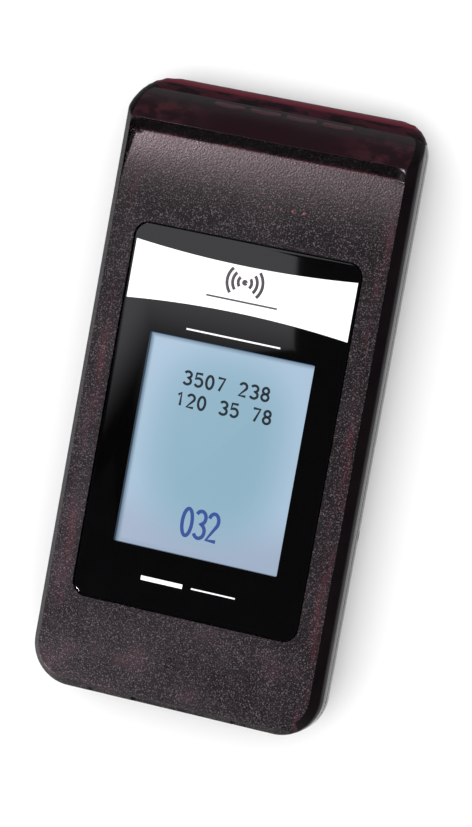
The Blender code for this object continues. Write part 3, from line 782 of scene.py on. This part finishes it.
def make_lens(black, white):
    """The lens: a black-backed panel with an open window, and its white printed band."""
    top, bottom = lens_high.z / MM, lens_low.z / MM
    centre_y = (lens_low.y + lens_high.y) / 2 / MM
    length = (lens_high.y - lens_low.y) / MM
    lens = plate("lens_panel", bottom, top, lens_high.x / MM, centre_y, length, 2.5, [black], 16, bevel=0.18)
    window = plate("lens_window", bottom - 1, top + 1, 14.9, WINDOW_Y, 36.6, 0.25, (), 3, centre_x=0.25)
    cut(lens, [window])
    settle(lens, [window])
    return lens, make_band(top, white)


def make_band(top, white):
    """The white band across the lens, with both long edges bowed towards its middle line."""
    half, steps = 20.0, 28
    points, faces = [], []
    for z in (top - 0.05, top + 0.012):
        for i in range(steps + 1):
            x = -half + 2 * half * i / steps
            bow = 1 - (x / half) ** 2
            points.append((x, BAND_LOW_Y + BAND_LOW_BOW * bow, z))
            points.append((x, BAND_HIGH_Y - BAND_HIGH_BOW * bow, z))
    count = 2 * (steps + 1)
    for i in range(steps):
        a = 2 * i
        faces.append((a, a + 1, a + 3, a + 2))
        faces.append((count + a, count + a + 2, count + a + 3, count + a + 1))
        faces.append((a, a + 2, count + a + 2, count + a))
        faces.append((a + 1, count + a + 1, count + a + 3, a + 3))
    faces.append((0, count, count + 1, 1))
    last = count - 2
    faces.append((last, last + 1, count + last + 1, count + last))
    return add_mesh("lens_band", points, faces, [white])


def stroke(points, radius, closed=False):
    """A flat line with round ends, as a mesh."""
    curve = bpy.data.curves.new("stroke", "CURVE")
    curve.dimensions = "3D"
    curve.bevel_depth = radius * MM
    curve.bevel_resolution = 3
    curve.use_fill_caps = True
    spline = curve.splines.new("POLY")
    spline.points.add(len(points) - 1)
    for target, (x, y) in zip(spline.points, points):
        target.co = (x * MM, y * MM, 0.0, 1.0)
    spline.use_cyclic_u = closed
    obj = bpy.data.objects.new("stroke", curve)
    bpy.context.scene.collection.objects.link(obj)
    bpy.context.view_layer.update()
    mesh = bpy.data.meshes.new_from_object(obj.evaluated_get(bpy.context.evaluated_depsgraph_get()))
    bpy.data.objects.remove(obj, do_unlink=True)
    mesh.transform(Matrix.Diagonal((1, 1, MARK_THICK / (2 * radius), 1)))
    return mesh


def arc(cx, cy, rx, ry, start, end, steps=14):
    """Points along part of an ellipse, from one angle in degrees to another."""
    turn = [math.radians(start + (end - start) * i / steps) for i in range(steps + 1)]
    return [(cx + rx * math.cos(t), cy + ry * math.sin(t)) for t in turn]


def digit_paths(digit):
    """The centre lines of a digit in a cell one unit high and 0.56 wide, each with whether it closes."""
    width = 0.56
    mid = width / 2
    if digit == 0:
        return [(arc(mid, 0.5, mid, 0.5, 0, 346, 30), True)]
    if digit == 1:
        return [([(0.10, 0.80), (0.34, 1.0), (0.34, 0.0)], False)]
    if digit == 2:
        return [(arc(mid, 0.73, mid, 0.27, 165, -35) + [(0.0, 0.0), (width, 0.0)], False)]
    if digit == 3:
        return [(arc(mid, 0.76, mid, 0.24, 155, -90) + arc(mid, 0.26, mid * 1.1, 0.26, 90, -155), False)]
    if digit == 5:
        flag = [(width, 1.0), (0.06, 1.0), (0.02, 0.56)]
        return [(flag + arc(mid, 0.32, mid * 1.1, 0.32, 110, -150), False)]
    if digit == 7:
        return [([(0.0, 1.0), (width, 1.0), (0.18, 0.0)], False)]
    upper = (arc(mid, 0.76, mid * 0.86, 0.24, 0, 346, 20), True)
    return [upper, (arc(mid, 0.26, mid, 0.26, 0, 346, 20), True)]


def printed_mark(name, builder, material):
    """One object from the strokes that were gathered in a bmesh, which it frees."""
    made = bpy.data.meshes.new(name)
    builder.to_mesh(made)
    builder.free()
    made.materials.append(material)
    obj = bpy.data.objects.new(name, made)
    bpy.context.scene.collection.objects.link(obj)
    return obj


def digit_row(name, text, start, height, pitch, weight, z, material, narrow=1.0):
    """A row of digits as flat strokes, joined into one piece. A space leaves a gap."""
    builder = bmesh.new()
    for index, letter in enumerate(text):
        if letter == " ":
            continue
        for path, closed in digit_paths(int(letter)):
            points = [(x * height * narrow, y * height) for x, y in path]
            mesh = stroke(points, weight, closed)
            mesh.transform(Matrix.Translation(((start[0] + index * pitch) * MM, start[1] * MM, z * MM)))
            builder.from_mesh(mesh)
            bpy.data.meshes.remove(mesh)
    return printed_mark(name, builder, material)


def line_marks(name, paths, z, material):
    """Flat strokes joined into one printed mark. Each stroke is its points and half its width."""
    builder = bmesh.new()
    for points, half in paths:
        mesh = stroke(points, half)
        mesh.transform(Matrix.Translation((0, 0, z * MM)))
        builder.from_mesh(mesh)
        bpy.data.meshes.remove(mesh)
    return printed_mark(name, builder, material)


def make_lamp_windows(material):
    """Four slim windows in the nose over the red lamps, laid on its curve."""
    wide, tall = len(LAMP_COLUMNS), len(LAMP_ROWS_Y)
    corner_drop = 0.12
    pieces = []
    for index in range(4):
        left = LAMP_FIRST_X + LAMP_PITCH * index
        top, bottom = [], []
        for y in LAMP_ROWS_Y:
            for shift in LAMP_COLUMNS:
                corner = shift in (LAMP_COLUMNS[0], LAMP_COLUMNS[-1])
                corner = corner and y in (LAMP_ROWS_Y[0], LAMP_ROWS_Y[-1])
                top.append((left + shift, y, float(nose_z(y)) + 0.015 - corner * corner_drop))
                bottom.append((left + shift, y, float(nose_z(y)) - 0.15))
        count = len(top)
        faces = []
        for r in range(tall - 1):
            for c in range(wide - 1):
                a = r * wide + c
                faces.append((a, a + 1, a + wide + 1, a + wide))
                faces.append((count + a, count + a + wide, count + a + wide + 1, count + a + 1))
        edge = list(range(wide))
        edge += [r * wide + wide - 1 for r in range(1, tall)]
        edge += [(tall - 1) * wide + c for c in range(wide - 2, -1, -1)]
        edge += [r * wide for r in range(tall - 2, 0, -1)]
        for i, a in enumerate(edge):
            b = edge[(i + 1) % len(edge)]
            faces.append((a, b, count + b, count + a))
        pieces.append(add_mesh(f"lamp_window_{index + 1}", top + bottom, faces, [material]))
    return pieces


def make_pilot_dots(bright, faint):
    """Four pin-size marks in the scoop, where small lamps show through."""
    def circle(x, radius):
        turn = np.linspace(0, 2 * math.pi, 17)[:-1]
        return [(x + radius * math.cos(a), PILOT_Y + radius * math.sin(a)) for a in turn]

    pieces = []
    for index, (x, look) in enumerate(((2.4, faint), (4.4, faint), (6.45, bright), (8.5, bright))):
        z = float(surface_z(np.array(x), np.array(PILOT_Y)))
        wide, narrow = circle(x, 0.26), circle(x, 0.14)
        levels = [(z - 0.2, wide), (z + 0.01, wide), (z + 0.03, narrow)]
        pieces.append(stack(f"pilot_dot_{index + 1}", levels, [look]))
    return pieces


# ---------------------------------------------------------------- assembly


def main():
    spark = spark_plastic("spark_plastic", 1.30)
    spark_bevel = spark_plastic("spark_bevel", 1.12)
    gloss_front = gloss_smoke("gloss_front", 0.32)
    gloss_rear = gloss_smoke("gloss_rear", 0.5)
    lens_black = moulded("lens_black", (0.0022, 0.0022, 0.0026), 0.045, 0.0, 400.0, 0.000001, 0.2, 0.5)
    band_white = moulded("band_white", (0.93, 0.93, 0.93), 0.10, 0.0, 500.0, 0.000001, 0.01, 0.4)
    lcd = lcd_lit()
    ink = moulded("lcd_ink", (0.010, 0.018, 0.026), 0.6, level=0.05)
    ink_blue = moulded("lcd_ink_blue", (0.026, 0.060, 0.22), 0.6, level=0.05)

    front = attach(make_front_case([spark, gloss_front, nose_gloss(), shaded_bevel(), spark_bevel]), BODY)
    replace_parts(front, "front_shell")
    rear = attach(make_rear_case([gloss_rear, head_end()]), BODY)
    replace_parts(rear, "rear_shell")
    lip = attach(make_seam_lip(moulded("seam_red", (0.030, 0.006, 0.009), 0.4, level=0.1)), BODY)

    lens, band = make_lens(lens_black, band_white)
    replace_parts(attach(lens, BODY), "display_lens")
    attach(band, BODY)

    glass = plate(
        "lcd_panel", glass_low.z / MM, glass_high.z / MM, glass_high.x / MM, WINDOW_Y,
        (glass_high.y - glass_low.y) / MM, 0.4, [lcd], 4, bevel=0.1,
    )
    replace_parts(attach(glass, BODY), "lcd_glass")
    z = glass_high.z / MM - 0.005
    marks = [
        digit_row("message_1", "3507 238", (-7.6, 2.5), 2.2, 2.02, 0.25, z, ink),
        digit_row("message_2", "120 35 78", (-8.3, -1.3), 2.2, 1.98, 0.25, z, ink),
        digit_row("lcd_number", "032", (-3.4, -23.0), 4.7, 2.35, 0.36, z, ink_blue, 0.66),
    ]
    for mark in marks:
        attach(mark, BODY)

    add_markings()
    finish_inner_parts()
    add_stage()
    add_camera()


def add_markings():
    """Plain stand-ins for the printed marks, and the red lamps that show through the smoke plastic."""
    print_white = moulded("print_white", (0.85, 0.85, 0.85), 0.4, level=0.2)
    print_grey = moulded("print_grey", (0.055, 0.050, 0.060), 0.4, level=0.2)
    top = lens_high.z / MM
    waves = []
    for reach in (1.2, 2.2, 3.2):
        for turn in (0, 180):
            waves.append((arc(WAVE_X, WAVE_Y, reach, reach, turn - 42, turn + 42), 0.28))
    waves.append((arc(WAVE_X, WAVE_Y, 0.22, 0.22, 0, 350), 0.30))
    bars = [([(-8.6, BARS_Y), (-1.0, BARS_Y)], 0.55), ([(0.6, BARS_Y), (8.6, BARS_Y)], 0.18)]
    lines = [
        line_marks("band_waves", waves, top + 0.015, print_grey),
        line_marks("band_line", [([(-6.0, 18.3), (6.8, 18.3)], 0.16)], top + 0.015, print_grey),
        line_marks("lens_line", [([(-8.4, 11.9), (8.6, 11.9)], 0.20)], top - 0.01, print_white),
        line_marks("lens_bars", bars, top - 0.01, print_white),
    ]
    for line in lines:
        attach(line, BODY)
    lamp = moulded("lamp_window", (0.024, 0.0048, 0.0075), 0.25, level=0.2)
    bright = moulded("pilot_bright", (0.17, 0.020, 0.028), 0.3)
    faint = moulded("pilot_faint", (0.060, 0.014, 0.020), 0.3)
    for piece in make_lamp_windows(lamp) + make_pilot_dots(bright, faint):
        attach(piece, BODY)


def finish_inner_parts():
    """Surfaces for the CAD nodes that show through openings or stand inside."""
    finishes = {
        "white_plastic": moulded("white_moulded", (0.75, 0.75, 0.73), 0.5),
        "light_guide": moulded("light_guide", (0.80, 0.84, 0.88), 0.25),
        "board_green": board_green(),
        "chip_black": moulded("chip_black", (0.014, 0.014, 0.016), 0.5, 0.0, 3000.0, 0.00003),
        "steel": moulded("steel", (0.55, 0.55, 0.57), 0.28, 1.0, 2500.0, 0.00001),
        "brass": moulded("brass", (0.70, 0.50, 0.22), 0.30, 1.0),
        "gold": moulded("gold", (0.90, 0.70, 0.30), 0.22, 1.0),
        "foil": moulded("foil", (0.58, 0.60, 0.63), 0.38, 0.7, 300.0, 0.0001),
        "foam": moulded("foam", (0.03, 0.03, 0.03), 0.95, 0.0, 2200.0, 0.0003),
        "rubber": moulded("rubber", (0.018, 0.016, 0.017), 0.6, 0.0, 2400.0, 0.00004),
        "flex_amber": moulded("flex_amber", (0.52, 0.25, 0.04), 0.35),
        "led_red": moulded("led_red", (0.55, 0.02, 0.03), 0.18),
        "wire_red": moulded("wire_red", (0.5, 0.02, 0.02), 0.4),
        "wire_black": moulded("wire_black", (0.015, 0.015, 0.015), 0.4),
        "label_grey": moulded("label_grey", (0.42, 0.42, 0.43), 0.55, 0.0, 1800.0, 0.00002),
    }
    for part in frame["record"]["subparts"]:
        made = finishes.get(part["material_slot"])
        if made is None:
            continue
        node = frame["nodes"][part["node"]]
        node.data.materials.clear()
        node.data.materials.append(made)


def add_light(name, location, power, colour):
    """A small square lamp aimed at the pager, in metres. It lights gloss only."""
    light = bpy.data.lights.new(name, "AREA")
    light.shape = "RECTANGLE"
    light.size = light.size_y = 0.12
    light.energy = power
    light.color = colour
    obj = bpy.data.objects.new(name, light)
    obj.location = location
    target = Vector((0, 0, 0.01))
    obj.rotation_euler = (target - Vector(location)).to_track_quat("-Z", "Y").to_euler()
    bpy.context.scene.collection.objects.link(obj)
    obj.visible_diffuse = False


def add_stage():
    """The floor, the surroundings and the lamps."""
    bpy.context.scene.view_settings.view_transform = "Standard"
    n = Nodes("floor")
    tone = n.noise(9.0, 2.0)
    paper = n.mix(tone, (0.86, 0.86, 0.86), (0.88, 0.88, 0.88))
    floor_look = n.set(Base_Color=paper, Roughness=0.9, Specular_IOR_Level=0.0)
    reach = 650
    rim = [(reach * math.cos(a), reach * math.sin(a), 0) for a in np.linspace(0, 2 * math.pi, 65)[:-1]]
    floor = add_mesh("floor", rim, [tuple(range(64))], [floor_look])
    add_world()
    add_softbox()
    add_dark_card()
    add_light("head_soft", (-0.42, 0.42, 0.74), 8.0, (1.0, 0.76, 0.82))
    add_light("low_left", (-0.52, -0.40, 0.66), 15.0, (1.0, 0.84, 0.95))


def add_world():
    """A white tent lights matt surfaces evenly, while gloss mirrors a dark room with a paler far wall."""
    world = bpy.data.worlds.new("studio")
    bpy.context.scene.world = world
    world.use_nodes = True
    tree = world.node_tree
    nodes, link = tree.nodes, tree.links.new

    def map_range(value, low, high, to_low, to_high):
        node = nodes.new("ShaderNodeMapRange")
        node.interpolation_type = "SMOOTHSTEP"
        for index, number in enumerate((low, high, to_low, to_high)):
            node.inputs[index + 1].default_value = number
        link(value, node.inputs[0])
        return node.outputs[0]

    def combine(operation, a, b):
        node = nodes.new("ShaderNodeMath")
        node.operation = operation
        for index, value in enumerate((a, b)):
            if hasattr(value, "is_output"):
                link(value, node.inputs[index])
            else:
                node.inputs[index].default_value = value
        return node.outputs[0]

    def blend(factor, first, second):
        node = nodes.new("ShaderNodeMixShader")
        for index, value in enumerate((factor, first, second)):
            link(value, node.inputs[index])
        return node.outputs[0]

    direction = nodes.new("ShaderNodeTexCoord").outputs["Generated"]
    towards = nodes.new("ShaderNodeVectorMath")
    towards.operation = "DOT_PRODUCT"
    towards.inputs[1].default_value = (-0.55, 0.75, 0.0)
    link(direction, towards.inputs[0])
    split = nodes.new("ShaderNodeSeparateXYZ")
    link(direction, split.inputs[0])
    below_ceiling = map_range(split.outputs[2], 0.85, 0.45, 0.0, 1.0)
    far_side = map_range(towards.outputs["Value"], 0.0, 0.9, 0.0, 0.17)
    wall = combine("MULTIPLY", below_ceiling, far_side)
    room = nodes.new("ShaderNodeBackground")
    room.inputs[0].default_value = (1.0, 0.96, 0.99, 1)
    link(combine("ADD", wall, 0.03), room.inputs[1])
    tent = nodes.new("ShaderNodeBackground")
    tent.inputs[0].default_value = (1, 1, 1, 1)
    tent.inputs[1].default_value = 1.58
    pale = nodes.new("ShaderNodeBackground")
    pale.inputs[0].default_value = (1, 1, 1, 1)
    path = nodes.new("ShaderNodeLightPath").outputs
    look = blend(path["Is Diffuse Ray"], room.outputs[0], tent.outputs[0])
    look = blend(path["Is Camera Ray"], look, pale.outputs[0])
    link(look, nodes["World Output"].inputs[0])
    nodes.remove(nodes["Background"])


def add_softbox():
    """A large lit card up to the left that fades towards its near end and puts a sheen on the lens."""
    n = Nodes("softbox")
    strength = n.fade(n.axis(1), -0.085, 0.010, 0.0, 1.35)
    glow = n.add("ShaderNodeEmission", Color=(0.96, 0.95, 1.0), Strength=strength)
    output = n.tree.nodes["Material Output"]
    n.tree.links.new(glow, output.inputs["Surface"])
    corners = [(-158, 0, 600), (-198, -110, 600), (-560, -110, 600), (-560, 420, 600), (-5, 420, 600)]
    card = add_mesh("softbox", corners, [(0, 1, 2, 3, 4)], [n.material])
    card.visible_camera = card.visible_shadow = False


def add_dark_card():
    """An upright dark card beside the right side, seen only by gloss, which keeps the upper edge black."""
    n = Nodes("dark_card")
    felt = n.set(Base_Color=n.mix(n.noise(40.0), (0.004, 0.004, 0.004), (0.006, 0.006, 0.006)), Roughness=0.9)
    low, high = (78, -260, 0.5), (80, 260, 240)
    card = box("dark_card", low, high, [felt])
    card.visible_camera = card.visible_diffuse = card.visible_shadow = False


def add_camera():
    """The camera looks down the body from its lower right side, turned so that the head leans right."""
    back = Vector((0.2938, 0.1095, 0.9496))
    right = Vector((0.9344, 0.1765, -0.3095))
    back.normalize()
    right = (right - back * right.dot(back)).normalized()
    up = back.cross(right)
    distance = 0.725
    camera = bpy.data.cameras.new("camera")
    camera.sensor_width = 36.0
    camera.lens = 185.73
    camera.shift_x = 0.01926
    camera.shift_y = -0.00773
    camera.clip_start = 0.01
    obj = bpy.data.objects.new("camera", camera)
    place = Matrix((right, up, back)).transposed().to_4x4()
    place.translation = Vector((0, 0, FACE_Z * MM)) + back * distance
    obj.matrix_world = place
    bpy.context.scene.collection.objects.link(obj)
    bpy.context.scene.camera = obj


main()
